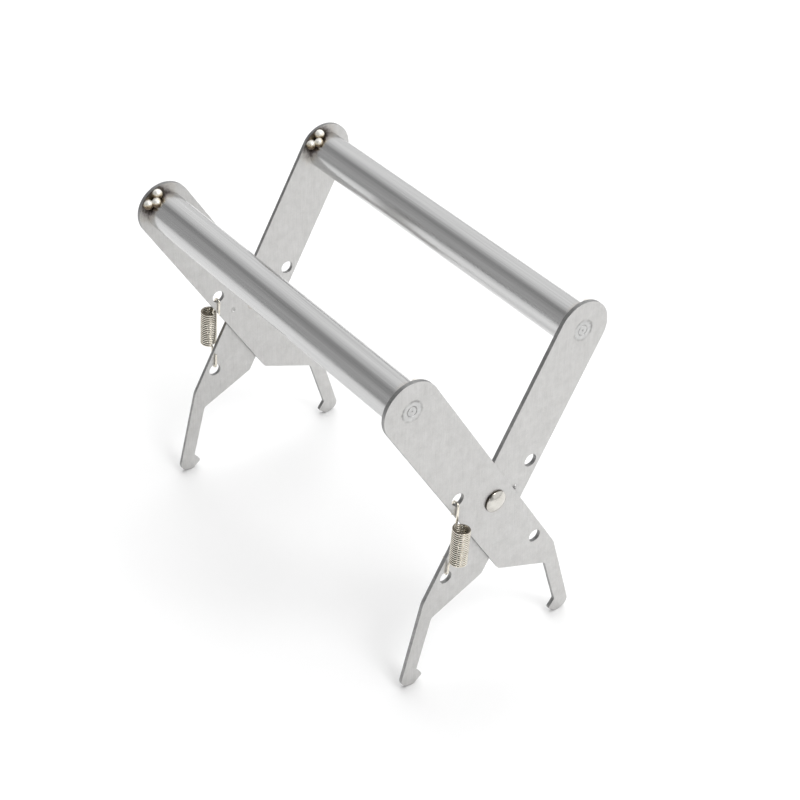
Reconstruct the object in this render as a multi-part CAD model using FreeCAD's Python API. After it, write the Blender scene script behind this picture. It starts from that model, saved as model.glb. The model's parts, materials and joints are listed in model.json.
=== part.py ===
import FreeCAD, Part
import math
import os

from FreeCAD import Vector

# Frame grip for lifting a hive frame by its top bar. Two tube handles, each tack-welded between
# two flat side plates. The plates of the two handles cross like scissors at each end, turn on a
# rivet, and end below it in a leg with an inward hook. An extension spring at each end holds
# the jaws open. Squeezing the handles closes the four hooks under the bar.
#
# Frame: millimetres, +Z up, X along the handles, front handle on the -Y side. The origin is on
# the surface that the hooks stand on, midway between the ends, below the pivot axis.
#
# A side plate is described flat by u and v: u runs from the pivot towards the handle, v runs
# across it, positive towards its back edge.

# ---- driving dimensions ----
END_FACE = 98.0             # from the middle of the grip to the outer plates' outer faces
PLATE_THICKNESS = 2.0
PLATE_GAP = 0.1             # play between the two plates that cross
OPEN_LEAN_DEG = 30.6        # lean of each handle from upright with the jaws fully open

PLATE_WIDTH = 28.0
FRONT_EDGE = -18.1          # v of the plate's front edge
HANDLE_U = 84.5             # from the pivot to the handle axis, along the plate
SPRING_HOLE_RADIUS = 3.25
UPPER_HOLE = (20.5, -12.5)  # u, v of the two spring holes
LOWER_HOLE = (-41.5, 4.3)

TUBE_RADIUS = 9.5
TUBE_WALL = 1.2
PLUG_LENGTH = 12.0
PLUG_CLEARANCE = 0.03
PLUG_EDGE = 1.0             # rounding of the plug's inner end
STUD_RADIUS = 3.0
PEEN_RADIUS = 4.9           # the stud's end is spread into a countersink in the plate
PEEN_DEPTH = 1.0
PEEN_RECESS = 0.08          # from the plate's face down to the stud's end
RING_RADIUS = 2.4           # ring that the peening tool leaves
RING_GROOVE = 0.2           # depth and half width of that ring
CENTRE_MARK = 0.5           # radius of the dent at the stud's centre

# A tack weld is three puddles, each placed by its angle from the middle of the tack, its distance
# from the plate and its height above the tube, and the last number is its radius.
WELD_ANGLE_DEG = 38.0       # middle of the tack, towards -Y at the left end and +Y at the right
WELD_PUDDLES = [(-16.0, 0.8, 1.8, 2.6), (17.0, 0.8, 1.8, 2.5), (1.0, 3.2, 0.3, 2.4)]

RIVET_SHANK_RADIUS = 3.0
RIVET_RUNNING_CLEARANCE = 0.05
RIVET_HEAD_RADIUS = 5.5
RIVET_HEAD_RIM = 0.9
RIVET_HEAD_DOME = 1.8
RIVET_TAIL_RADIUS = 4.6
RIVET_TAIL_HEIGHT = 1.3

STOP_V = -11.3              # v of the pressed dimple on the inner plates
STOP_RADIUS = 1.4
STOP_HEIGHT = 0.9
STOP_DENT_DEPTH = 0.7
STOP_GAP = 0.1              # from the dimple to the outer plate's edge with the jaws open

SPRING_WIRE_RADIUS = 0.55
SPRING_TURN_OVERLAP = 0.03  # turns are this much thicker than their pitch, so that they join
SPRING_COIL_RADIUS = 3.65   # from the coil's axis to the middle of the wire
SPRING_TURNS_PER_HALF = 9
SPRING_FACE_GAP = 0.3       # from the coil to the outer plate's face
SPRING_SPLIT_GAP = 0.1      # between the two halves of one spring
SPRING_UPPER_HOOK = 12.2    # from the centre of the upper hole to the coil
HOOK_RIM_OFFSET = 0.6       # from the hole's rim to the centre of the hook's bend
HOOK_RETURN = 6.0           # straight free end of the hook, behind the plate
HOOK_CRANK_START = 1.0      # a hook on the inner plate is cranked inwards between these
HOOK_CRANK_END = 4.6        # distances from the coil
HOOK_CRANK_ROUNDING = 2.0

# ---- values worked out from them ----
LEAN = math.radians(OPEN_LEAN_DEG)
BACK_EDGE = FRONT_EDGE + PLATE_WIDTH
END_RADIUS = PLATE_WIDTH / 2
HANDLE_V = FRONT_EDGE + END_RADIUS
OUTER_PLATE = END_FACE - PLATE_THICKNESS                    # inner face of an outer plate
INNER_PLATE = OUTER_PLATE - PLATE_GAP - PLATE_THICKNESS     # inner face of an inner plate

TURN_RADIUS = SPRING_WIRE_RADIUS + SPRING_TURN_OVERLAP
TURN_PITCH = 2 * SPRING_WIRE_RADIUS
COIL_HALF_LENGTH = SPRING_TURNS_PER_HALF * TURN_PITCH
HOOK_BEND_RADIUS = PLATE_THICKNESS / 2 + SPRING_FACE_GAP + TURN_RADIUS
COIL_AXIS = END_FACE + SPRING_FACE_GAP + TURN_RADIUS + SPRING_COIL_RADIUS

# Corners of the plate's outline as u, v and the radius of the rounding.
PLATE_CORNERS = [
    (HANDLE_U + END_RADIUS, BACK_EDGE, END_RADIUS),    # round end about the handle
    (HANDLE_U + END_RADIUS, FRONT_EDGE, END_RADIUS),
    (-38.5, FRONT_EDGE, 3.0),                          # slanted lower cut starts
    (-63.3, 0.3, 2.5),                                 # slanted lower cut meets the leg
    (-91.3, -6.9, 0.8),                                # notch above the hook
    (-93.4, -12.2, 1.2),                               # tip of the hook
    (-99.5, -9.7, 2.6),                                # heel of the hook, which stands on the floor
    (-101.3, -2.2, 4.2),                               # back of the hook
    (-56.3, BACK_EDGE, 8.0),                           # leg bends away from the straight back edge
]
HEEL = 6

ORIGIN = Vector(0, 0, 0)
X_AXIS = Vector(1, 0, 0)
Z_AXIS = Vector(0, 0, 1)
RIGHT = 1
LEFT = -1


def unit(vector):
    return vector * (1.0 / vector.Length)


def on_front_plate(x, u, v):
    """Point of a front plate, measured from the middle of the pivot axis."""
    return Vector(x, v * math.cos(LEAN) - u * math.sin(LEAN), u * math.cos(LEAN) + v * math.sin(LEAN))


def on_rear_plate(x, u, v):
    """Point of a rear plate, which leans the other way."""
    front = on_front_plate(x, u, v)
    return Vector(x, -front.y, front.z)


# ---- outlines ----
def rounded_corner(before, corner, after, radius):
    """Start, middle, end and centre of the arc that rounds a corner."""
    back = unit(before - corner)
    ahead = unit(after - corner)
    half_angle = back.getAngle(ahead) / 2
    setback = radius / math.tan(half_angle)
    inwards = unit(back + ahead)
    centre = corner + inwards * (radius / math.sin(half_angle))
    return corner + back * setback, centre - inwards * radius, corner + ahead * setback, centre


def rounded_wire(points, radii, closed):
    """Straight runs joined by tangent arcs. A radius of 0 leaves a sharp corner."""
    count = len(points)
    pieces = []
    for i in range(count):
        at_an_end = not closed and i in (0, count - 1)
        if at_an_end or radii[i] == 0:
            pieces.append((points[i], None, points[i]))
        else:
            after = points[(i + 1) % count]
            pieces.append(rounded_corner(points[i - 1], points[i], after, radii[i])[:3])
    if closed:
        pieces.append(pieces[0])
    edges = []
    for i in range(len(pieces) - 1):
        start, middle, end = pieces[i]
        if middle is not None:
            edges.append(Part.Arc(start, middle, end).toShape())
        following = pieces[i + 1][0]
        if (following - end).Length > 1e-6:
            edges.append(Part.LineSegment(end, following).toShape())
    return Part.Wire(edges)


def turned(profile, centre, side):
    """Solid of revolution about a line along X. The profile's corners are the distance outwards
    from the centre, the radius, and the radius of the corner's rounding."""
    points = [centre + X_AXIS * side * along + Z_AXIS * radius for along, radius, _ in profile]
    outline = rounded_wire(points, [rounding for _, _, rounding in profile], closed=True)
    return Part.Face(outline).revolve(centre, X_AXIS, 360)


def dome(base, outwards, radius, height):
    """Spherical cap that stands on a base circle."""
    ball_radius = (radius ** 2 + height ** 2) / (2 * height)
    ball_centre = base + outwards * (height - ball_radius)
    rim = base + Z_AXIS * radius
    top = base + outwards * height
    middle = ball_centre + unit(unit(rim - ball_centre) + outwards) * ball_radius
    edges = [Part.LineSegment(base, rim), Part.Arc(rim, middle, top), Part.LineSegment(top, base)]
    section = Part.Face(Part.Wire([edge.toShape() for edge in edges]))
    return section.revolve(base, outwards, 360)


# ---- plates ----
def heel_depth():
    """How far the hook's heel reaches below the pivot axis with the jaws open."""
    around = [on_front_plate(0, u, v) for u, v, _ in PLATE_CORNERS[HEEL - 1:HEEL + 2]]
    radius = PLATE_CORNERS[HEEL][2]
    return radius - rounded_corner(*around, radius)[3].z


def with_stop(plate, side):
    """Presses the stop dimple out of an inner plate, against which the outer plate's edge rests."""
    opening = 2 * LEAN
    edge = BACK_EDGE + STOP_RADIUS + STOP_GAP
    stop_u = (edge + STOP_V * math.cos(opening)) / math.sin(opening)
    outwards = X_AXIS * side
    outer_face = on_front_plate(side * (INNER_PLATE + PLATE_THICKNESS), stop_u, STOP_V)
    inner_face = on_front_plate(side * INNER_PLATE, stop_u, STOP_V)
    dent = dome(inner_face, outwards, STOP_RADIUS, STOP_DENT_DEPTH)
    return plate.fuse(dome(outer_face, outwards, STOP_RADIUS, STOP_HEIGHT)).cut(dent)


def front_plate(side, inner_face, pivot_hole_radius):
    """Side plate of the front handle, with its spring holes, pivot hole and countersunk stud hole."""
    x = side * inner_face
    thickness = X_AXIS * side * PLATE_THICKNESS
    points = [on_front_plate(x, u, v) for u, v, _ in PLATE_CORNERS]
    outline = rounded_wire(points, [rounding for _, _, rounding in PLATE_CORNERS], closed=True)
    plate = Part.Face(outline).extrude(thickness)

    holes = [
        ((0, 0), pivot_hole_radius),
        ((HANDLE_U, HANDLE_V), STUD_RADIUS),
        (UPPER_HOLE, SPRING_HOLE_RADIUS),
        (LOWER_HOLE, SPRING_HOLE_RADIUS),
    ]
    for (u, v), radius in holes:
        drill = Part.makeCylinder(radius, PLATE_THICKNESS, on_front_plate(x, u, v), thickness)
        plate = plate.cut(drill)
    sink_bottom = on_front_plate(x, HANDLE_U, HANDLE_V) + X_AXIS * side * (PLATE_THICKNESS - PEEN_DEPTH)
    sink = Part.makeCone(STUD_RADIUS, PEEN_RADIUS, PEEN_DEPTH, sink_bottom, thickness)
    plate = plate.cut(sink)
    if inner_face == INNER_PLATE:
        plate = with_stop(plate, side)
    return plate


# ---- handles ----
def front_tube():
    """Handle tube, cut square and butted against both plates."""
    start = on_front_plate(-INNER_PLATE, HANDLE_U, HANDLE_V)
    length = INNER_PLATE + OUTER_PLATE
    bore = Part.makeCylinder(TUBE_RADIUS - TUBE_WALL, length, start, X_AXIS)
    return Part.makeCylinder(TUBE_RADIUS, length, start, X_AXIS).cut(bore)


def front_plug(side, inner_face):
    """End plug: a turned slug inside the tube's end, with a stud peened flush in the plate."""
    slug = TUBE_RADIUS - TUBE_WALL - PLUG_CLEARANCE
    stud_end = PLATE_THICKNESS - PEEN_RECESS
    peen_start = PLATE_THICKNESS - PEEN_DEPTH
    peen_slope = (PEEN_RADIUS - STUD_RADIUS) / PEEN_DEPTH
    profile = [
        (-PLUG_LENGTH, 0, 0),
        (-PLUG_LENGTH, slug, PLUG_EDGE),
        (0, slug, 0),
        (0, STUD_RADIUS, 0),
        (peen_start, STUD_RADIUS, 0),
        (stud_end, PEEN_RADIUS - peen_slope * PEEN_RECESS, 0),
        (stud_end, RING_RADIUS + RING_GROOVE, 0),
        (stud_end - RING_GROOVE, RING_RADIUS, 0),
        (stud_end, RING_RADIUS - RING_GROOVE, 0),
        (stud_end, CENTRE_MARK, 0),
        (stud_end - CENTRE_MARK, 0, 0),
    ]
    return turned(profile, on_front_plate(side * inner_face, HANDLE_U, HANDLE_V), side)


def front_weld(side, inner_face):
    """Tack weld between a tube's end and its plate: puddles that stand on both."""
    corner = on_front_plate(side * inner_face, HANDLE_U, HANDLE_V)
    inwards = X_AXIS * -side
    puddles = []
    for turn, off_plate, off_tube, radius in WELD_PUDDLES:
        angle = math.radians(WELD_ANGLE_DEG + turn)
        outwards = Vector(0, side * math.sin(angle), math.cos(angle))
        centre = corner + inwards * off_plate + outwards * (TUBE_RADIUS + off_tube)
        puddles.append(Part.makeSphere(radius, centre, outwards))
    weld = puddles[0].fuse(puddles[1:])
    weld = weld.cut(Part.makeCylinder(TUBE_RADIUS, 2 * PLUG_LENGTH, corner, inwards))
    behind = Part.makeCylinder(END_RADIUS * 2, 2 * PLUG_LENGTH, corner, inwards * -1)
    return weld.cut(behind)


# ---- pivots ----
def pivot_rivet(side):
    """Rivet through both plates, with a domed head outside and a lower dome peened inside."""
    outwards = X_AXIS * side
    under_head = outwards * (END_FACE + RIVET_RUNNING_CLEARANCE)
    behind_plates = outwards * (INNER_PLATE - RIVET_RUNNING_CLEARANCE)
    shank_length = (under_head - behind_plates).Length
    shank = Part.makeCylinder(RIVET_SHANK_RADIUS, shank_length, behind_plates, outwards)
    rim = Part.makeCylinder(RIVET_HEAD_RADIUS, RIVET_HEAD_RIM, under_head, outwards)
    crown = dome(under_head + outwards * RIVET_HEAD_RIM, outwards, RIVET_HEAD_RADIUS, RIVET_HEAD_DOME)
    tail = dome(behind_plates, outwards * -1, RIVET_TAIL_RADIUS, RIVET_TAIL_HEIGHT)
    return shank.fuse([rim, crown, tail]).removeSplitter()


# ---- springs ----
UPPER_EYE = on_front_plate(0, *UPPER_HOLE)
LOWER_EYE = on_rear_plate(0, *LOWER_HOLE)
SPRING_LINE = unit(LOWER_EYE - UPPER_EYE)
SPRING_LENGTH = (LOWER_EYE - UPPER_EYE).Length


def spring_half(side, eye, towards_coil, hook_length, hooked_plate):
    """Half of a spring: close turns as stacked rings, and the hook wire through a plate's hole.
    Distances run from the eye, the centre of the hole, along the spring towards its coil."""

    def at(along, out):
        return eye + towards_coil * along + X_AXIS * side * out

    wall = math.sqrt(TURN_RADIUS ** 2 - SPRING_WIRE_RADIUS ** 2)
    edges = []
    for way in (1, -1):
        ridge = COIL_AXIS + SPRING_COIL_RADIUS + way * TURN_RADIUS
        valley = COIL_AXIS + SPRING_COIL_RADIUS + way * wall
        for turn in range(SPRING_TURNS_PER_HALF):
            start = hook_length + turn * TURN_PITCH
            arc = Part.Arc(
                at(start, valley), at(start + SPRING_WIRE_RADIUS, ridge), at(start + TURN_PITCH, valley)
            )
            edges.append(arc.toShape())
    for end in (hook_length, hook_length + COIL_HALF_LENGTH):
        outer = at(end, COIL_AXIS + SPRING_COIL_RADIUS + wall)
        inner = at(end, COIL_AXIS + SPRING_COIL_RADIUS - wall)
        edges.append(Part.LineSegment(outer, inner).toShape())
    section = Part.Face(Part.Wire(Part.__sortEdges__(edges)))
    coil = section.revolve(at(0, COIL_AXIS), towards_coil, 360)

    strand = COIL_AXIS - SPRING_COIL_RADIUS
    near = hooked_plate + PLATE_THICKNESS / 2 + HOOK_BEND_RADIUS
    far = near - 2 * HOOK_BEND_RADIUS
    bend = SPRING_HOLE_RADIUS + HOOK_RIM_OFFSET
    route = [(hook_length + SPRING_WIRE_RADIUS, strand, 0)]
    if near < strand - 1e-6:
        route.append((hook_length - HOOK_CRANK_START, strand, HOOK_CRANK_ROUNDING))
        route.append((hook_length - HOOK_CRANK_END, near, HOOK_CRANK_ROUNDING))
    route.append((bend - HOOK_BEND_RADIUS, near, HOOK_BEND_RADIUS))
    route.append((bend - HOOK_BEND_RADIUS, far, HOOK_BEND_RADIUS))
    route.append((bend + HOOK_RETURN, far, 0))
    path = rounded_wire([at(along, out) for along, out, _ in route], [r for _, _, r in route], closed=False)
    section = Part.Circle(at(*route[0][:2]), towards_coil, SPRING_WIRE_RADIUS).toShape()
    hook = path.makePipeShell([Part.Wire(section)], True, True)
    return coil.fuse(hook)


# ---- assembly ----
def rear(shape):
    """The rear handle's pieces are the front handle's, turned half round."""
    turned_round = shape.copy()
    turned_round.rotate(ORIGIN, Z_AXIS, 180)
    return turned_round


TURNING_HOLE = RIVET_SHANK_RADIUS + RIVET_RUNNING_CLEARANCE
FIXED_HOLE = RIVET_SHANK_RADIUS
UPPER_HALF_END = SPRING_UPPER_HOOK + COIL_HALF_LENGTH
LOWER_HOOK = SPRING_LENGTH - UPPER_HALF_END - SPRING_SPLIT_GAP - COIL_HALF_LENGTH

nodes = {
    "front_handle_tube": front_tube(),
    "front_end_plug_right": front_plug(RIGHT, OUTER_PLATE),
    "front_end_plug_left": front_plug(LEFT, INNER_PLATE),
    "front_weld_right": front_weld(RIGHT, OUTER_PLATE),
    "front_weld_left": front_weld(LEFT, INNER_PLATE),
    "front_plate_right": front_plate(RIGHT, OUTER_PLATE, TURNING_HOLE),
    "front_plate_left": front_plate(LEFT, INNER_PLATE, TURNING_HOLE),
    "rear_handle_tube": rear(front_tube()),
    "rear_end_plug_right": rear(front_plug(LEFT, INNER_PLATE)),
    "rear_end_plug_left": rear(front_plug(RIGHT, OUTER_PLATE)),
    "rear_weld_right": rear(front_weld(LEFT, INNER_PLATE)),
    "rear_weld_left": rear(front_weld(RIGHT, OUTER_PLATE)),
    "rear_plate_right": rear(front_plate(LEFT, INNER_PLATE, FIXED_HOLE)),
    "rear_plate_left": rear(front_plate(RIGHT, OUTER_PLATE, FIXED_HOLE)),
    "pivot_rivet_right": pivot_rivet(RIGHT),
    "pivot_rivet_left": pivot_rivet(LEFT),
    "spring_right_upper": spring_half(RIGHT, UPPER_EYE, SPRING_LINE, SPRING_UPPER_HOOK, OUTER_PLATE),
    "spring_right_lower": spring_half(RIGHT, LOWER_EYE, SPRING_LINE * -1, LOWER_HOOK, INNER_PLATE),
    "spring_left_upper": spring_half(LEFT, UPPER_EYE, SPRING_LINE, SPRING_UPPER_HOOK, INNER_PLATE),
    "spring_left_lower": spring_half(LEFT, LOWER_EYE, SPRING_LINE * -1, LOWER_HOOK, OUTER_PLATE),
}

os.makedirs("parts", exist_ok=True)
pivot_height = heel_depth()
for name, shape in nodes.items():
    shape.translate(Z_AXIS * pivot_height)
    shape.exportStep("parts/" + name + ".step")
    print(name, "solids", len(shape.Solids), "valid", shape.isValid(), "mm3 %.1f" % shape.Volume)
print("pivot height %.3f" % pivot_height)
print("upper eye", UPPER_EYE, "lower eye", LOWER_EYE, "spring length %.3f" % SPRING_LENGTH)
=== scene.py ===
import json
import math

import bmesh
import bpy
from mathutils import Matrix, Vector, noise
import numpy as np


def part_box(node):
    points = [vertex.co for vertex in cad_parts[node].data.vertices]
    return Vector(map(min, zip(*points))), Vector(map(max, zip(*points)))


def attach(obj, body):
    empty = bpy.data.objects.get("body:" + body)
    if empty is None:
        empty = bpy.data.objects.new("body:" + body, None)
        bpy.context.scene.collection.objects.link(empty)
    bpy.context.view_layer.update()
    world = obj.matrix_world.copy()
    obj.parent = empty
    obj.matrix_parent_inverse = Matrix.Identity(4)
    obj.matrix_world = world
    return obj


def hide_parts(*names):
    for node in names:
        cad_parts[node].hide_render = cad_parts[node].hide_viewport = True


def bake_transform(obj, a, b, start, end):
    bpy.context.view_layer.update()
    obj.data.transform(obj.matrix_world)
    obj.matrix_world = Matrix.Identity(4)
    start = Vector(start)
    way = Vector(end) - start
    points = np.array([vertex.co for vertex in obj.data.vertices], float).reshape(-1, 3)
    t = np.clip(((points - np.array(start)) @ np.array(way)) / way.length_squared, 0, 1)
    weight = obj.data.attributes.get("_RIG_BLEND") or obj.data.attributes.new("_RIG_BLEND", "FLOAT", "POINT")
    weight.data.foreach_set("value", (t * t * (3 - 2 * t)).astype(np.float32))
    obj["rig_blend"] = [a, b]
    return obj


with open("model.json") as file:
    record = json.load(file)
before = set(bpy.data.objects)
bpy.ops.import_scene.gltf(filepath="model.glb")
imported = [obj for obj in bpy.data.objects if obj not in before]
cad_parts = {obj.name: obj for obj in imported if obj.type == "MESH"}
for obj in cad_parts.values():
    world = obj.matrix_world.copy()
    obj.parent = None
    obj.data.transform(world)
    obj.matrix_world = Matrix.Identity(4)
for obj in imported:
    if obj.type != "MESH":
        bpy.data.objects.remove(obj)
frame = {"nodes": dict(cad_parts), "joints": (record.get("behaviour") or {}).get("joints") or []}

# A hive frame grip in stainless sheet and polished tube. The plates are the CAD plates with their
# edges broken, and the plugs are the CAD plugs. Tubes, rivets, welds and springs are turned,
# puddled and wound here at CAD size. Units are metres, in the frame of the CAD model: +X along the
# handles, +Z up.

MM = 0.001
X_AXIS = Vector((1, 0, 0))
Z_AXIS = Vector((0, 0, 1))
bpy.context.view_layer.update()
SCENE = bpy.context.scene

# ---- places read from the frame ----
JOINTS = {joint["name"]: joint for joint in frame["joints"]}
PIVOT = Vector(JOINTS["grip_close"]["pos_m"])
SPRING_EYE = Vector((0, *JOINTS["spring_right_swing"]["pos_m"][1:]))
SPRING_LINE = Vector(JOINTS["spring_right_stretch"]["axis"]).normalized()
SIDES = {"right": 1, "left": -1}
HANDLES = ("front", "rear")
TUBE_BOX = {handle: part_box(handle + "_handle_tube") for handle in HANDLES}
HANDLE_AXIS = {name: Vector((0, *((low + high) / 2)[1:])) for name, (low, high) in TUBE_BOX.items()}
TUBE_RADIUS = (TUBE_BOX["front"][1].z - TUBE_BOX["front"][0].z) / 2

# ---- sizes that the frame doesn't give, as in the CAD model ----
PLATE_LEAN = math.radians(30.6)
EDGE_BREAK = 0.22 * MM          # rounding of the sheet's cut edges
TUBE_WALL = 1.2 * MM
TUBE_CHAMFER = 0.15 * MM
TUBE_SEGMENTS = 160

RIVET_UNDER_HEAD = 98.05 * MM   # distances from the middle of the grip
RIVET_BEHIND_PLATES = 93.85 * MM
RIVET_SHANK_RADIUS = 3.0 * MM
RIVET_HEAD_RADIUS = 5.5 * MM
RIVET_HEAD_RIM = 0.9 * MM
RIVET_HEAD_DOME = 1.8 * MM
RIVET_TAIL_RADIUS = 4.6 * MM
RIVET_TAIL_HEIGHT = 1.3 * MM
RIVET_ROUNDING = 0.25 * MM
RIVET_SEGMENTS = 96
RIVET_TAIL_STEPS = 16
RIVET_HEAD_STEPS = 24
RIVET_CREVICE_SHADE = 0.9                # strength of the painted shade in the corner under the head
RIVET_SHADED_RIM = 0.9           # share of the head's rim that the painted shade covers

# Tack welds: the tack's angle from upright, towards -Y at the left end and +Y at the right, and
# each puddle's turn from there, distance from the plate, height above the tube and radius.
WELD_ANGLE = math.radians(38)
WELD_PUDDLES = [(-16, 0.8, 1.8, 2.6), (17, 0.8, 1.8, 2.5), (1, 3.2, 0.3, 2.4)]
PUDDLE_SUBDIVISIONS = 5
PUDDLE_SIZE = 0.97              # share of the CAD radius, so that lumps and ripples stay within it
PUDDLE_RIPPLE = 0.004           # height of the ripples and lumps, as shares of the radius
PUDDLE_RIPPLES = 22
PUDDLE_LUMP = 0.03
PUDDLE_LUMP_SCALE = 1.7
PUDDLE_VARIETY = 900            # how fast the lumps change from one puddle's place to another's
WELD_VOXEL = 0.13 * MM

TINT_REACH = 14 * MM            # how far the heat tint of a weld spreads
RING_RADIUS = 2.4 * MM          # ring that the peening tool leaves round each stud
PEEN_RADIUS = 4.9 * MM          # rim of the peened stud in the plate's outer face

WIRE_RADIUS = 0.55 * MM
WIRE_SIDES = 14
COIL_RADIUS = 3.65 * MM         # from the coil's axis to the middle of the wire
COIL_AXIS = 102.53 * MM         # from the middle of the grip
COIL_TURNS = 17
POINTS_PER_TURN = 40
SPRING_LENGTH = 44.961 * MM     # between the centres of the two holes
UPPER_HOOK = 12.2 * MM          # from the centre of a hole to the coil
LOWER_HOOK = 12.861 * MM
COIL_ENTRY = 1.0 * MM           # bend from the hook's straight wire into the first turn
ENTRY_STEPS = 8
HOOK_BEND = 1.88 * MM
HOOK_BEND_CENTRE = 3.85 * MM    # from the centre of the hole
HOOK_RETURN = 6.0 * MM
NEARLY = 0.999                  # keeps the two arcs of a bend from meeting at one point
CRANK_START = 1.0 * MM          # a hook on the inner plate is cranked between these
CRANK_END = 4.6 * MM            # distances from the coil
CRANK_ROUNDING = 2.0 * MM
COIL_ROUNDING = 1.8 * MM        # where the crank meets the coil's straight strand
WIRE_END = 0.82                 # radius of the wire's rounded ends, as a share
OUTER_PLATE_MIDDLE = 97.0 * MM  # from the middle of the grip
INNER_PLATE_MIDDLE = 94.9 * MM


def tube_end(handle, side):
    """Centre of a tube's end, at the inner face of the plate."""
    low, high = TUBE_BOX[handle]
    return X_AXIS * (high.x if side > 0 else low.x) + HANDLE_AXIS[handle]


def weld_direction(side, turn=0):
    """Way from the tube's axis to a tack weld, or to one that is turned further round the tube."""
    angle = WELD_ANGLE + math.radians(turn)
    return Vector((0, side * math.sin(angle), math.cos(angle)))


def grey(level):
    return (level, level, level)


# ---------------------------------------------------------------- materials
class Nodes:
    """Small helper that adds shader nodes to a material or a world."""

    def __init__(self, owner):
        self.owner = owner
        owner.use_nodes = True
        self.tree = owner.node_tree
        self.coordinates = self.add("ShaderNodeTexCoord").outputs

    def add(self, kind, **settings):
        node = self.tree.nodes.new(kind)
        for key, value in settings.items():
            setattr(node, key, value)
        return node

    def join(self, source, target):
        self.tree.links.new(source, target)

    def place(self, scale, turn=(0, 0, 0), centre=(0, 0, 0)):
        """Object coordinates, moved so that centre is the origin, turned, then scaled."""
        shift = self.add("ShaderNodeVectorMath", operation="SUBTRACT")
        shift.inputs[1].default_value = centre
        self.join(self.coordinates["Object"], shift.inputs[0])
        mapping = self.add("ShaderNodeMapping")
        mapping.inputs["Rotation"].default_value = turn
        mapping.inputs["Scale"].default_value = scale
        self.join(shift.outputs[0], mapping.inputs["Vector"])
        return mapping.outputs["Vector"]

    def length(self, vector):
        node = self.add("ShaderNodeVectorMath", operation="LENGTH")
        self.join(vector, node.inputs[0])
        return node.outputs["Value"]

    def parts(self, vector):
        node = self.add("ShaderNodeSeparateXYZ")
        self.join(vector, node.inputs[0])
        return node.outputs

    def noise(self, vector, scale=1.0, detail=4.0, roughness=0.55):
        node = self.add("ShaderNodeTexNoise")
        node.inputs["Scale"].default_value = scale
        node.inputs["Detail"].default_value = detail
        node.inputs["Roughness"].default_value = roughness
        self.join(vector, node.inputs["Vector"])
        return node.outputs["Fac"]

    def spread(self, value, low, high, start=0.3, end=0.7):
        """Maps a value from start..end to low..high. The default range is most of a noise's."""
        node = self.add("ShaderNodeMapRange")
        node.inputs["From Min"].default_value = start
        node.inputs["From Max"].default_value = end
        node.inputs["To Min"].default_value = low
        node.inputs["To Max"].default_value = high
        self.join(value, node.inputs["Value"])
        return node.outputs["Result"]

    def maths(self, operation, a, b):
        node = self.add("ShaderNodeMath", operation=operation)
        for socket, value in zip(node.inputs, (a, b)):
            if isinstance(value, (int, float)):
                socket.default_value = value
            else:
                self.join(value, socket)
        return node.outputs[0]

    def colours(self, value, stops):
        """Colour ramp. Each stop is a position and an RGB colour."""
        node = self.add("ShaderNodeValToRGB")
        ramp = node.color_ramp
        while len(ramp.elements) < len(stops):
            ramp.elements.new(0.5)
        for element, (position, colour) in zip(ramp.elements, stops):
            element.position = position
            element.color = (*colour, 1)
        self.join(value, node.inputs["Fac"])
        return node.outputs["Color"]

    def bump(self, height, distance, strength=1.0, onto=None):
        node = self.add("ShaderNodeBump")
        node.inputs["Distance"].default_value = distance
        node.inputs["Strength"].default_value = strength
        self.join(height, node.inputs["Height"])
        if onto is not None:
            self.join(onto, node.inputs["Normal"])
        return node.outputs["Normal"]

    def mixed(self, amount, first, second):
        """Mix of two colours. Inputs 6 and 7 and output 2 are the node's colour sockets."""
        node = self.add("ShaderNodeMix", data_type="RGBA")
        self.join(amount, node.inputs["Factor"])
        self.join(first, node.inputs[6])
        self.join(second, node.inputs[7])
        return node.outputs[2]

    def weld_tint(self, colour, handle, squeeze):
        """Oxide colours that fade from a handle's two tack welds, squeezed along the handle so
        that they stay on one face of the sheet or close to the tube's end."""
        distance = None
        for side in SIDES.values():
            weld = tube_end(handle, side) + weld_direction(side) * TUBE_RADIUS
            away = self.length(self.place((squeeze, 1, 1), centre=weld))
            distance = away if distance is None else self.maths("MINIMUM", distance, away)
        ragged = self.noise(self.place((1, 1, 1)), scale=420, detail=3)
        distance = self.maths("ADD", distance, self.spread(ragged, -1.6 * MM, 1.6 * MM))
        reach = self.spread(distance, 0, 1, start=0, end=TINT_REACH)
        oxide = self.colours(reach, [
            (0.20, (0.30, 0.24, 0.15)), (0.30, (0.05, 0.036, 0.024)), (0.44, (0.08, 0.062, 0.05)),
            (0.58, (0.24, 0.205, 0.20)), (0.74, (0.50, 0.45, 0.38)), (0.95, (0.60, 0.58, 0.54)),
        ])
        amount = self.colours(reach, [(0.42, grey(0.88)), (0.66, grey(0.4)), (1.0, grey(0))])
        return self.mixed(amount, colour, oxide)

    def off_axis(self, handle, raggedness=0.0):
        """Distance from the line through the middle of a handle, made ragged by up to a length."""
        distance = self.length(self.place((0, 1, 1), centre=HANDLE_AXIS[handle]))
        if raggedness == 0:
            return distance
        ragged = self.noise(self.place((1, 1, 1)), scale=900, detail=3)
        return self.maths("ADD", distance, self.spread(ragged, -raggedness, raggedness))

    def ring(self, distance, radius, half_width, fading):
        """1 on a ring of that radius, falling to 0 beside it, and broken here and there."""
        off_ring = self.maths("ABSOLUTE", self.maths("SUBTRACT", distance, radius), 0)
        line = self.spread(off_ring, 1, 0, start=0, end=half_width)
        broken = self.noise(self.place((1, 1, 1)), scale=fading, detail=2)
        return self.maths("MULTIPLY", line, self.spread(broken, 0.2, 1, start=0.4, end=0.6))

    def finish(self, colour, roughness, normal, metallic=1.0):
        shader = self.tree.nodes["Principled BSDF"]
        shader.inputs["Metallic"].default_value = metallic
        self.join(colour, shader.inputs["Base Color"])
        self.join(roughness, shader.inputs["Roughness"])
        self.join(normal, shader.inputs["Normal"])
        return self.owner


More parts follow.
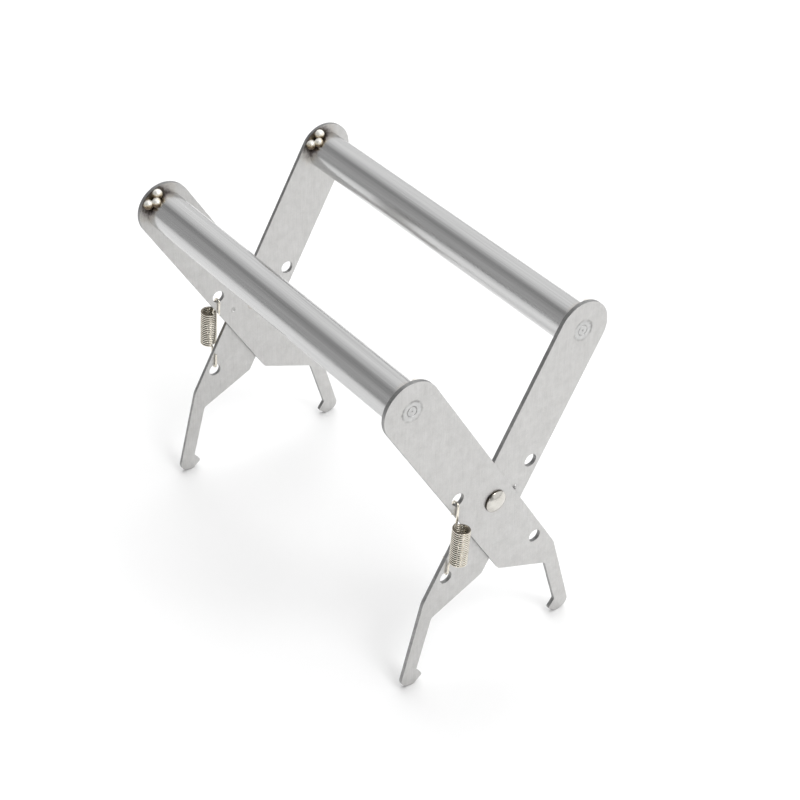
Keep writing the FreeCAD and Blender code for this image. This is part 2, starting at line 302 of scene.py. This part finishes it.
def material_nodes(name):
    return Nodes(bpy.data.materials.new(name))


SCRATCH_TURN = 0.9              # radians between the scratches and the rolling lines
PEEN_RAGGEDNESS = 0.3 * MM      # how far the marks of peening wander from a true ring


def sheet_steel(handle, lean):
    """Matt rolled stainless sheet: faint cloudy patches, fine rolling lines along the plate and a
    few light handling scratches. lean is the plate's lean from upright, so the lines follow it."""
    n = material_nodes("rolled_sheet_" + handle)
    along = n.place((1, 1, 1), turn=(-lean, 0, 0), centre=PIVOT)
    clouds = n.noise(along, scale=210, detail=5, roughness=0.7)
    rolled = n.noise(n.place((400, 5200, 90), turn=(-lean, 0, 0), centre=PIVOT), detail=3)
    grit = n.noise(along, scale=5200, detail=2)
    scratch_field = n.place((60, 900, 26), turn=(-lean + SCRATCH_TURN, 0, 0), centre=PIVOT)
    scratches = n.spread(n.noise(scratch_field, detail=1, roughness=0.4), 0, 1, start=0.69, end=0.73)
    tone = n.maths("ADD", n.spread(clouds, -0.4, 0.4), n.spread(rolled, -0.35, 0.35))
    tone = n.maths("ADD", tone, n.spread(grit, -0.45, 0.45))
    colour = n.colours(
        n.spread(tone, 0, 1, start=-1.0, end=1.0),
        [(0.0, (0.45, 0.445, 0.437)), (0.5, (0.56, 0.555, 0.546)), (1.0, (0.67, 0.665, 0.657))],
    )
    colour = n.weld_tint(colour, handle, squeeze=9)
    peened_rim = n.ring(n.off_axis(handle, PEEN_RAGGEDNESS), PEEN_RADIUS, 0.7 * MM, fading=200)
    dirt_and_shade = n.colours(grit, [(0.3, (0.17, 0.165, 0.16)), (0.7, (0.27, 0.265, 0.26))])
    colour = n.mixed(n.maths("MULTIPLY", peened_rim, 0.8), colour, dirt_and_shade)
    rough = n.spread(tone, 0.36, 0.48, start=-1.0, end=1.0)
    rough = n.maths("SUBTRACT", rough, n.maths("MULTIPLY", scratches, 0.12))
    normal = n.bump(grit, 0.00002, 0.35)
    normal = n.bump(rolled, 0.00002, 0.35, onto=normal)
    normal = n.bump(scratches, -0.00002, 0.5, onto=normal)
    return n.finish(colour, rough, normal)


def sheared_edge():
    """Stamped edge of the sheet: darker, with the punch's drag lines across the thickness."""
    n = material_nodes("sheared_edge")
    drag = n.noise(n.place((500, 2600, 2600)), detail=4, roughness=0.7)
    patches = n.noise(n.place((1, 1, 1)), scale=260, detail=3)
    tone = n.maths("ADD", n.spread(drag, -0.6, 0.6), n.spread(patches, -0.5, 0.5))
    colour = n.colours(
        n.spread(tone, 0, 1, start=-1.0, end=1.0),
        [(0.0, (0.23, 0.23, 0.23)), (0.55, (0.35, 0.35, 0.35)), (1.0, (0.49, 0.49, 0.48))],
    )
    rough = n.spread(tone, 0.42, 0.58, start=-1.0, end=1.0)
    return n.finish(colour, rough, n.bump(drag, 0.00006, 0.6))


def polished_tube(handle):
    """Drawn and polished tube: fine lines along its length, faint patches of handling haze."""
    n = material_nodes("polished_tube_" + handle)
    drawn = n.noise(n.place((16, 1500, 1500)), detail=5, roughness=0.65)
    broad = n.noise(n.place((5, 330, 330)), detail=3)
    haze = n.noise(n.place((1, 1, 1)), scale=48, detail=4)
    tone = n.maths("ADD", n.spread(drawn, -0.5, 0.5), n.spread(broad, -0.4, 0.4))
    colour = n.colours(
        n.spread(tone, 0, 1, start=-0.9, end=0.9),
        [(0.0, (0.50, 0.50, 0.50)), (0.5, (0.60, 0.60, 0.60)), (1.0, (0.68, 0.68, 0.68))],
    )
    colour = n.weld_tint(colour, handle, squeeze=1.8)
    rough = n.spread(tone, 0.17, 0.25, start=-0.9, end=0.9)
    rough = n.maths("ADD", rough, n.spread(haze, -0.03, 0.05))
    normal = n.bump(drawn, 0.000012, 0.5)
    return n.finish(colour, rough, n.bump(broad, 0.00003, 0.4, onto=normal))


def bright_nickel(name, dark, light, rough_low, rough_high, scale):
    """Warm nickel plate over turned or drawn steel, with soft patches of tarnish, and with painted
    shade in dark brown where the mesh's crevice shade attribute is near 1."""
    n = material_nodes(name)
    tarnish = n.noise(n.place((1, 1, 1)), scale=scale, detail=4, roughness=0.6)
    fine = n.noise(n.place((1, 1, 1)), scale=scale * 12, detail=3)
    tone = n.maths("ADD", n.spread(tarnish, -0.6, 0.6), n.spread(fine, -0.3, 0.3))
    middle = tuple((a + 2 * b) / 3 for a, b in zip(dark, light))
    share = n.spread(tone, 0, 1, start=-0.9, end=0.9)
    colour = n.colours(share, [(0.0, dark), (0.5, middle), (1.0, light)])
    rough = n.spread(tone, rough_high, rough_low, start=-0.9, end=0.9)
    # painted shade: dark brown under the rivet heads and between the spring's turns, read from a mesh
    # attribute
    dirt_and_shade = n.add("ShaderNodeAttribute", attribute_name="crevice_shade").outputs["Fac"]
    shade_brown = n.colours(fine, [(0.3, (0.05, 0.035, 0.02)), (0.7, (0.12, 0.09, 0.06))])
    colour = n.mixed(dirt_and_shade, colour, shade_brown)
    rough = n.maths("ADD", rough, n.maths("MULTIPLY", dirt_and_shade, 0.2))
    return n.finish(colour, rough, n.bump(fine, 0.00002, 0.25))


def peened_end(handle):
    """End of the plug's stud, peened and dressed with the plate: the tool's ring and centre mark
    are dark, and so is the broken seam round the rim."""
    n = material_nodes("peened_end_" + handle)
    swirl = n.noise(n.place((1, 1, 1)), scale=1400, detail=4, roughness=0.7)
    patches = n.noise(n.place((1, 1, 1)), scale=300, detail=3)
    tone = n.maths("ADD", n.spread(swirl, -0.5, 0.5), n.spread(patches, -0.5, 0.5))
    colour = n.colours(
        n.spread(tone, 0, 1, start=-1.0, end=1.0),
        [(0.0, (0.44, 0.44, 0.44)), (0.5, (0.56, 0.56, 0.555)), (1.0, (0.66, 0.66, 0.655))],
    )
    distance = n.off_axis(handle, PEEN_RAGGEDNESS)
    tool_ring = n.ring(distance, RING_RADIUS, 0.3 * MM, fading=330)
    rim = n.ring(distance, PEEN_RADIUS, 0.9 * MM, fading=200)
    centre_mark = n.spread(distance, 0.5, 0, start=0.2 * MM, end=0.8 * MM)
    marks = n.maths("MAXIMUM", n.maths("MAXIMUM", tool_ring, rim), centre_mark)
    dirt_and_shade = n.colours(swirl, [(0.3, (0.16, 0.155, 0.15)), (0.7, (0.26, 0.255, 0.25))])
    colour = n.mixed(n.maths("MULTIPLY", marks, 0.75), colour, dirt_and_shade)
    rough = n.spread(tone, 0.34, 0.46, start=-1.0, end=1.0)
    return n.finish(colour, rough, n.bump(swirl, 0.00004, 0.5))


def weld_metal(handle):
    """Frozen puddles: bright cream on top, straw to brown down their flanks. This is partly heat colour and
    partly painted light: a painted highlight on faces turned up and painted shade low down.
    """
    n = material_nodes("tack_weld_" + handle)
    lumps = n.noise(n.place((1, 1, 1)), scale=520, detail=4, roughness=0.6)
    height = n.spread(n.off_axis(handle), 0, 1, start=TUBE_RADIUS, end=TUBE_RADIUS + 2.6 * MM)
    # painted highlight: faces turned up are painted cream, as if lit from above
    painted_top_light = n.spread(n.parts(n.coordinates["Normal"])["Z"], 0, 1, start=-0.1, end=0.8)
    heat_and_painted_light = n.maths("ADD", n.maths("MINIMUM", height, painted_top_light), n.spread(lumps, -0.2, 0.2))
    colour = n.colours(heat_and_painted_light, [
        (0.05, (0.14, 0.10, 0.06)), (0.28, (0.50, 0.41, 0.27)),
        (0.5, (0.88, 0.83, 0.71)), (0.8, (0.97, 0.95, 0.89)),
    ])
    rough = n.spread(lumps, 0.24, 0.4)
    return n.finish(colour, rough, n.bump(lumps, 0.00012, 0.5), metallic=0.45)


SHEET = {"front": sheet_steel("front", PLATE_LEAN), "rear": sheet_steel("rear", -PLATE_LEAN)}
TUBE = {handle: polished_tube(handle) for handle in HANDLES}
SHEARED = sheared_edge()
PEENED = {handle: peened_end(handle) for handle in HANDLES}
FITTING = bright_nickel("nickel_fitting", (0.48, 0.46, 0.42), (0.72, 0.70, 0.66), 0.10, 0.22, 220)
WELD = {handle: weld_metal(handle) for handle in HANDLES}
SPRING = bright_nickel("nickel_wire", (0.50, 0.45, 0.36), (0.97, 0.93, 0.83), 0.09, 0.19, 420)


# ---------------------------------------------------------------- mesh helpers
def new_piece(name, mesh, body, slot, materials, *cad_nodes):
    """Links a mesh as a piece that moves with a body and stands for its CAD nodes."""
    piece = bpy.data.objects.new(name, mesh)
    SCENE.collection.objects.link(piece)
    for material in materials:
        mesh.materials.append(material)
    if body is not None:
        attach(piece, body)
    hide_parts(*cad_nodes)
    return piece


def smooth(mesh, sharp_over_deg):
    """Smooth shading that keeps edges sharper than an angle."""
    mesh.shade_smooth()
    mesh.set_sharp_from_angle(angle=math.radians(sharp_over_deg))


def mesh_of(name, points, faces):
    mesh = bpy.data.meshes.new(name)
    mesh.from_pydata(points, [], faces)
    mesh.validate()
    return mesh


def turned(name, profile, centre, segments, closed):
    """Surface of revolution about a line along X. The profile is places along X and radii. A
    radius of 0 is a point on the axis, and a closed profile joins its last ring to its first."""
    points = []
    rings = []
    for along, radius in profile:
        count = segments if radius > 0 else 1
        ring = []
        for i in range(count):
            angle = 2 * math.pi * i / segments
            ring.append(len(points))
            points.append(centre + Vector((along, radius * math.cos(angle), radius * math.sin(angle))))
        rings.append(ring)
    faces = []
    pairs = list(zip(rings, rings[1:] + rings[:1] if closed else rings[1:]))
    for first, second in pairs:
        for i in range(segments):
            j = (i + 1) % segments
            corners = [first[i % len(first)], first[j % len(first)]]
            corners += [second[j % len(second)], second[i % len(second)]]
            faces.append(list(dict.fromkeys(corners)))
    mesh = mesh_of(name, points, faces)
    bm = bmesh.new()
    bm.from_mesh(mesh)
    bmesh.ops.recalc_face_normals(bm, faces=bm.faces)
    bm.to_mesh(mesh)
    bm.free()
    return mesh


def dome_profile(base, height, radius, steps):
    """Places and radii from the rim of a spherical cap to its top."""
    ball = (radius ** 2 + height ** 2) / (2 * abs(height))
    half_angle = math.asin(min(1, radius / ball))
    way = math.copysign(1, height)
    top = base + height
    profile = []
    for i in range(steps + 1):
        angle = half_angle * (1 - i / steps)
        profile.append((top - way * ball * (1 - math.cos(angle)), max(0.0, ball * math.sin(angle))))
    return profile


SAME_PLACE = 0.0001 * MM        # points of a route that are closer than this are one point


def rounded_route(corners, steps=10):
    """Points along straight runs joined by tangent arcs, in two dimensions. Each corner is its
    place and the radius of its rounding."""
    route = []
    for i, (corner, radius) in enumerate(corners):
        corner = Vector(corner)
        if i in (0, len(corners) - 1) or radius == 0:
            route.append(corner)
            continue
        back = (Vector(corners[i - 1][0]) - corner).normalized()
        ahead = (Vector(corners[i + 1][0]) - corner).normalized()
        half_angle = back.angle(ahead) / 2
        start = corner + back * (radius / math.tan(half_angle))
        centre = corner + (back + ahead).normalized() * (radius / math.sin(half_angle))
        turn = (start - centre).angle_signed(corner + ahead * (start - corner).length - centre)
        for k in range(steps + 1):
            arm = (start - centre).copy()
            arm.rotate(Matrix.Rotation(-turn * k / steps, 2))
            route.append(centre + arm)
    return [p for k, p in enumerate(route) if k == 0 or (p - route[k - 1]).length > SAME_PLACE]


# ---------------------------------------------------------------- plates
MERGE_DISTANCE = 0.002 * MM         # CAD mesh points closer than this are one point
FLAT_ANGLE = math.radians(0.3)      # CAD mesh edges flatter than this are dropped
CORNER_ANGLE = math.radians(40)     # edges sharper than this are broken
WALL_NORMAL = 0.2                   # a face that looks along X by less than this is a cut wall


def side_plate(handle, side_name):
    """The CAD plate with its cut edges rounded over and the sheared walls in their own material."""
    node = f"{handle}_plate_{side_name}"
    mesh = frame["nodes"][node].data.copy()
    mesh.materials.clear()
    bm = bmesh.new()
    bm.from_mesh(mesh)
    bmesh.ops.remove_doubles(bm, verts=bm.verts, dist=MERGE_DISTANCE)
    bmesh.ops.dissolve_limit(bm, angle_limit=FLAT_ANGLE, verts=bm.verts, edges=bm.edges)
    corners = [e for e in bm.edges if e.is_manifold and e.calc_face_angle() > CORNER_ANGLE]
    bmesh.ops.bevel(
        bm, geom=corners, offset=EDGE_BREAK, segments=2, profile=0.5, affect="EDGES", clamp_overlap=True
    )
    bmesh.ops.recalc_face_normals(bm, faces=bm.faces)
    for face in bm.faces:
        face.material_index = 1 if abs(face.normal.x) < WALL_NORMAL else 0
    bm.to_mesh(mesh)
    bm.free()
    smooth(mesh, 50)
    steels = [SHEET[handle], SHEARED]
    piece = new_piece(node + "_sheet", mesh, handle + "_handle", "side_plate", steels, node)
    weighted = piece.modifiers.new("flat_faces", "WEIGHTED_NORMAL")
    weighted.keep_sharp = True
    return piece


# ---------------------------------------------------------------- handles
def handle_tube(handle):
    """Tube with a hollow bore and a fine chamfer at both ends."""
    low, high = TUBE_BOX[handle]
    bore = TUBE_RADIUS - TUBE_WALL
    profile = [
        (low.x, bore), (low.x, TUBE_RADIUS - TUBE_CHAMFER), (low.x + TUBE_CHAMFER, TUBE_RADIUS),
        (high.x - TUBE_CHAMFER, TUBE_RADIUS), (high.x, TUBE_RADIUS - TUBE_CHAMFER), (high.x, bore),
    ]
    mesh = turned(handle + "_tube", profile, HANDLE_AXIS[handle], TUBE_SEGMENTS, closed=True)
    smooth(mesh, 30)
    node = handle + "_handle_tube"
    return new_piece(handle + "_tube", mesh, handle + "_handle", "handle_tube", [TUBE[handle]], node)


def tack_weld(handle, side_name):
    """Three puddles run together, with the fine ripples of each freezing."""
    side = SIDES[side_name]
    node = f"{handle}_weld_{side_name}"
    corner = tube_end(handle, side)
    bm = bmesh.new()
    for turn, off_plate, off_tube, radius in WELD_PUDDLES:
        outwards = weld_direction(side, turn)
        centre = corner - X_AXIS * side * off_plate * MM + outwards * (TUBE_RADIUS + off_tube * MM)
        made = bmesh.ops.create_icosphere(bm, subdivisions=PUDDLE_SUBDIVISIONS, radius=1)
        for vertex in made["verts"]:
            away = vertex.co.normalized()
            ring = math.acos(max(-1, min(1, away.dot(outwards))))
            ripple = PUDDLE_RIPPLE * math.sin(ring * PUDDLE_RIPPLES)
            lumps = PUDDLE_LUMP * noise.noise(away * PUDDLE_LUMP_SCALE + centre * PUDDLE_VARIETY)
            vertex.co = centre + away * radius * MM * (PUDDLE_SIZE + ripple + lumps)
    mesh = bpy.data.meshes.new(node)
    bm.to_mesh(mesh)
    bm.free()
    mesh.shade_smooth()
    piece = new_piece(node + "_bead", mesh, handle + "_handle", "weld_bead", [WELD[handle]], node)
    union = piece.modifiers.new("run_together", "REMESH")
    union.mode = "VOXEL"
    union.voxel_size = WELD_VOXEL
    union.use_smooth_shade = True
    return piece


# ---------------------------------------------------------------- pivots
def pivot_rivet(side_name):
    """Domed head with a rim, shank, and a lower dome peened behind the plates."""
    side = SIDES[side_name]
    head_rim = RIVET_UNDER_HEAD + RIVET_HEAD_RIM
    tail = dome_profile(RIVET_BEHIND_PLATES, -RIVET_TAIL_HEIGHT, RIVET_TAIL_RADIUS, RIVET_TAIL_STEPS)
    dome_radius = RIVET_HEAD_RADIUS - RIVET_ROUNDING / 2
    head = dome_profile(head_rim, RIVET_HEAD_DOME, dome_radius, RIVET_HEAD_STEPS)
    profile = tail[::-1] + [
        (RIVET_BEHIND_PLATES, RIVET_SHANK_RADIUS),
        (RIVET_UNDER_HEAD, RIVET_SHANK_RADIUS),
        (RIVET_UNDER_HEAD, RIVET_HEAD_RADIUS - RIVET_ROUNDING),
        (RIVET_UNDER_HEAD + RIVET_ROUNDING, RIVET_HEAD_RADIUS),
        (head_rim - RIVET_ROUNDING, RIVET_HEAD_RADIUS),
    ] + head
    profile = [(side * along, radius) for along, radius in profile]
    centre = Vector((0, PIVOT.y, PIVOT.z))
    mesh = turned("rivet_" + side_name, profile, centre, RIVET_SEGMENTS, closed=False)
    smooth(mesh, 50)
    # painted shade: the corner under the head and the lower rim are marked to be painted dark brown
    hidden = mesh.attributes.new("crevice_shade", "FLOAT", "POINT")
    for i, vertex in enumerate(mesh.vertices):
        off_plate = abs(vertex.co.x) - RIVET_UNDER_HEAD
        in_shade = -RIVET_ROUNDING < off_plate < RIVET_HEAD_RIM * RIVET_SHADED_RIM
        hidden.data[i].value = RIVET_CREVICE_SHADE if in_shade else 0
    node = "pivot_rivet_" + side_name
    return new_piece("rivet_" + side_name, mesh, "rear_handle", "nickel_fitting", [FITTING], node)


# ---------------------------------------------------------------- springs
def hook_route(hook_length, plate_middle):
    """Wire from a hook's free end to just before the coil: distances from the eye along the
    spring, and from the middle of the grip."""
    strand = COIL_AXIS - COIL_RADIUS
    near = plate_middle + HOOK_BEND
    far = plate_middle - HOOK_BEND
    tip = HOOK_BEND_CENTRE - HOOK_BEND
    corners = [
        ((HOOK_BEND_CENTRE + HOOK_RETURN, far), 0),
        ((tip, far), HOOK_BEND * NEARLY),
        ((tip, near), HOOK_BEND * NEARLY),
    ]
    if near < strand - WIRE_RADIUS:
        corners.append(((hook_length - CRANK_END, near), CRANK_ROUNDING))
        corners.append(((hook_length - CRANK_START, strand), COIL_ROUNDING))
    corners.append(((hook_length + WIRE_RADIUS - COIL_ENTRY, strand), 0))
    return rounded_route(corners)


def coil_route():
    """Wire of the coil and its two entry bends, unrolled: distance round the coil and along it."""
    start = UPPER_HOOK + WIRE_RADIUS
    end = SPRING_LENGTH - LOWER_HOOK - WIRE_RADIUS
    around = 2 * math.pi * COIL_RADIUS * COIL_TURNS
    bend = COIL_ENTRY
    quarter = [math.pi / 2 * i / ENTRY_STEPS for i in range(1, ENTRY_STEPS + 1)]
    route = [(bend - bend * math.cos(a), start - bend + bend * math.sin(a)) for a in quarter]
    steps = COIL_TURNS * POINTS_PER_TURN
    for i in range(1, steps):
        share = i / steps
        route.append((bend + (around - 2 * bend) * share, start + (end - start) * share))
    for a in [0] + quarter[:-1]:
        route.append((around - bend + bend * math.sin(a), end + bend - bend * math.cos(a)))
    return route, around


def swept(name, path):
    """Round wire along a path, with rings that don't twist and slightly rounded ends."""
    ends = (0, len(path) - 1)
    tangents = [(path[min(i + 1, ends[1])] - path[max(i - 1, 0)]).normalized() for i in range(len(path))]
    normal = tangents[0].orthogonal().normalized()
    points = []
    for i, (place, tangent) in enumerate(zip(path, tangents)):
        normal = (normal - tangent * normal.dot(tangent)).normalized()
        across = tangent.cross(normal)
        radius = WIRE_RADIUS * (WIRE_END if i in ends else 1)
        for k in range(WIRE_SIDES):
            angle = 2 * math.pi * k / WIRE_SIDES
            points.append(place + (normal * math.cos(angle) + across * math.sin(angle)) * radius)
    faces = [list(range(WIRE_SIDES))[::-1]]
    for ring in range(len(path) - 1):
        for k in range(WIRE_SIDES):
            a, b = ring * WIRE_SIDES + k, ring * WIRE_SIDES + (k + 1) % WIRE_SIDES
            faces.append([a, b, b + WIRE_SIDES, a + WIRE_SIDES])
    last = ends[1] * WIRE_SIDES
    faces.append(list(range(last, last + WIRE_SIDES)))
    return mesh_of(name, points, faces)


def extension_spring(side_name, upper_plate, lower_plate):
    """One length of wire: upper hook, close coil, lower hook. Its turns spread evenly as it
    stretches, because each ring of the wire follows the two halves by its share of the coil."""
    side = SIDES[side_name]
    out = X_AXIS * side
    round_coil = SPRING_LINE.cross(out)
    coil, around = coil_route()

    def at(along, distance):
        return SPRING_EYE + SPRING_LINE * along + out * distance

    path = [at(*place) for place in hook_route(UPPER_HOOK, upper_plate)]
    shares = [0.0] * len(path)
    for run, along in coil:
        turn = run / COIL_RADIUS
        radial = round_coil * math.sin(turn) - out * math.cos(turn)
        path.append(at(along, COIL_AXIS) + radial * COIL_RADIUS)
        shares.append(run / around)
    lower_hook = []
    for along, distance in hook_route(LOWER_HOOK, lower_plate):
        lower_hook.append(at(SPRING_LENGTH - along, distance))
    path += lower_hook[::-1]
    shares += [1.0] * len(lower_hook)

    mesh = swept("spring_" + side_name, path)
    smooth(mesh, 60)
    # painted shade between the turns: the sides of the wire that face the next turns are marked to be
    # painted dark
    hidden = mesh.attributes.new("crevice_shade", "FLOAT", "POINT")
    for i, vertex in enumerate(mesh.vertices):
        share = shares[i // WIRE_SIDES]
        sideways = abs((vertex.co - path[i // WIRE_SIDES]).dot(SPRING_LINE)) / WIRE_RADIUS
        hidden.data[i].value = min(1, sideways) ** 3 if 0 < share < 1 else 0
    upper_body, lower_body = f"spring_{side_name}_upper", f"spring_{side_name}_lower"
    coil_top = at(UPPER_HOOK, COIL_AXIS)
    coil_foot = at(SPRING_LENGTH - LOWER_HOOK, COIL_AXIS)
    piece = new_piece("spring_" + side_name, mesh, None, "spring_wire", [SPRING], upper_body, lower_body)
    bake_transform(piece, upper_body, lower_body, coil_top, coil_foot)
    weights = [share for share in shares for _ in range(WIRE_SIDES)]
    mesh.attributes["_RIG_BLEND"].data.foreach_set("value", weights)
    return piece


# ---------------------------------------------------------------- the grip
for handle in HANDLES:
    handle_tube(handle)
    for side_name in SIDES:
        side_plate(handle, side_name)
        tack_weld(handle, side_name)
        plug = frame["nodes"][f"{handle}_end_plug_{side_name}"]
        plug.data.materials.clear()
        plug.data.materials.append(PEENED[handle])
for side_name in SIDES:
    pivot_rivet(side_name)
extension_spring("right", OUTER_PLATE_MIDDLE, INNER_PLATE_MIDDLE)
extension_spring("left", INNER_PLATE_MIDDLE, OUTER_PLATE_MIDDLE)


# ---------------------------------------------------------------- studio
FLOOR_RADIUS = 3.0
FLOOR_RINGS = 24
FLOOR_SIDES = 64


def pale_floor():
    """Wide white table with a painted pool of light: it falls off to grey far from the grip."""
    n = material_nodes("pale_floor")
    mottled = n.noise(n.place((1, 1, 1)), scale=9, detail=4)
    reach = n.maths("ADD", n.length(n.coordinates["Object"]), n.spread(mottled, -0.01, 0.01))
    # painted pool of light: the colour turns grey away from the grip, where the light would fall off
    colour = n.colours(n.spread(reach, 0, 1, start=0.8, end=1.6), [(0, grey(0.93)), (1, grey(0.5))])
    rough = n.spread(mottled, 0.75, 0.85)
    material = n.finish(colour, rough, n.bump(mottled, 0.0001, 0.1), metallic=0.0)
    points = [Vector((0, 0, 0))]
    for ring in range(1, FLOOR_RINGS + 1):
        radius = FLOOR_RADIUS * ring / FLOOR_RINGS
        for k in range(FLOOR_SIDES):
            angle = 2 * math.pi * k / FLOOR_SIDES
            points.append(Vector((radius * math.cos(angle), radius * math.sin(angle), 0)))
    faces = [[0, 1 + k, 1 + (k + 1) % FLOOR_SIDES] for k in range(FLOOR_SIDES)]
    for ring in range(FLOOR_RINGS - 1):
        for k in range(FLOOR_SIDES):
            a = 1 + ring * FLOOR_SIDES + k
            b = 1 + ring * FLOOR_SIDES + (k + 1) % FLOOR_SIDES
            faces.append([a, a + FLOOR_SIDES, b + FLOOR_SIDES, b])
    mesh = mesh_of("floor", points, faces)
    mesh.materials.append(material)
    floor = bpy.data.objects.new("floor", mesh)
    SCENE.collection.objects.link(floor)


# Brightness of the room by the angle round the X axis, in degrees from straight up towards the
# springs' side.
ROOM_LIGHT = [
    (-180, 0.9), (-92, 0.95), (-20, 0.95), (8, 0.60), (24, 0.30), (42, 0.41), (62, 0.50), (90, 0.46),
    (110, 0.9),
]

# A dark flag in one corner of the room, which the tubes and rivets mirror as their dark lines. It
# fades in along each axis of the view direction, from where it's clear to where it's full.
FLAG_FADES = [("X", -0.52, -0.3), ("Y", -0.15, -0.4), ("Z", 0.1, 0.35)]
FLAG_LEVEL = 0.07


def studio_world():
    """Room light that changes only with the angle round the X axis: a bright wall and ceiling
    behind the grip, a dim room before it, and one dark flag."""
    world = bpy.data.worlds.new("studio")
    n = Nodes(world)
    way = n.parts(n.coordinates["Generated"])
    angle = n.maths("ARCTAN2", n.maths("MULTIPLY", way["Y"], -1), way["Z"])
    stops = [((degrees + 180) / 360, grey(level)) for degrees, level in ROOM_LIGHT]
    room = n.colours(n.spread(angle, 0, 1, start=-math.pi, end=math.pi), stops)
    flag = None
    for axis, clear, full in FLAG_FADES:
        fade = n.spread(way[axis], 0, 1, start=clear, end=full)
        flag = fade if flag is None else n.maths("MULTIPLY", flag, fade)
    dark = n.add("ShaderNodeRGB").outputs["Color"]
    dark.default_value = (*grey(FLAG_LEVEL), 1)
    n.join(n.mixed(flag, room, dark), n.tree.nodes["Background"].inputs["Color"])
    SCENE.world = world


def softbox(name, place, aim, size, watts, seen_in_metal):
    """Square area light. One that isn't seen in metal lights matt surfaces only."""
    light = bpy.data.lights.new(name, "AREA")
    light.shape = "SQUARE"
    light.size = size
    light.energy = watts
    lamp = bpy.data.objects.new(name, light)
    lamp.location = place
    lamp.rotation_mode = "QUATERNION"
    lamp.rotation_quaternion = (Vector(aim) - Vector(place)).to_track_quat("-Z", "Y")
    lamp.visible_glossy = seen_in_metal
    SCENE.collection.objects.link(lamp)


pale_floor()
studio_world()
softbox("table_light", (-0.3, 0.5, 1.6), (0, 0, 0), 1.8, 20, False)
softbox("side_glint", (0.9, 0.2, 1.3), (0, 0, 0.1), 0.5, 5, True)
softbox("spring_glint", (0.75, -0.8, 0.55), (0, 0, 0.1), 0.12, 0.7, True)
SCENE.view_settings.view_transform = "Standard"


# ---------------------------------------------------------------- camera
CAMERA_AZIMUTH = math.radians(52.888)
CAMERA_ELEVATION = math.radians(37.427)
CAMERA_ROLL = math.radians(0.521)
CAMERA_DISTANCE = 0.868
CAMERA_AIM = Vector((-0.0011, 0.0222, 0.0747))
CAMERA_LENS = 80.62
SENSOR_WIDTH = 36

back = Vector((
    math.sin(CAMERA_AZIMUTH) * math.cos(CAMERA_ELEVATION),
    -math.cos(CAMERA_AZIMUTH) * math.cos(CAMERA_ELEVATION),
    math.sin(CAMERA_ELEVATION),
))
level = Z_AXIS.cross(back).normalized()
upright = back.cross(level)
right = level * math.cos(CAMERA_ROLL) + upright * math.sin(CAMERA_ROLL)
up = back.cross(right)
lens = bpy.data.cameras.new("camera")
lens.lens = CAMERA_LENS
lens.sensor_width = SENSOR_WIDTH
lens.clip_start = 0.01
lens.clip_end = 20
camera = bpy.data.objects.new("camera", lens)
camera.matrix_world = Matrix((right, up, back)).transposed().to_4x4()
camera.location = CAMERA_AIM + back * CAMERA_DISTANCE
SCENE.collection.objects.link(camera)
SCENE.camera = camera
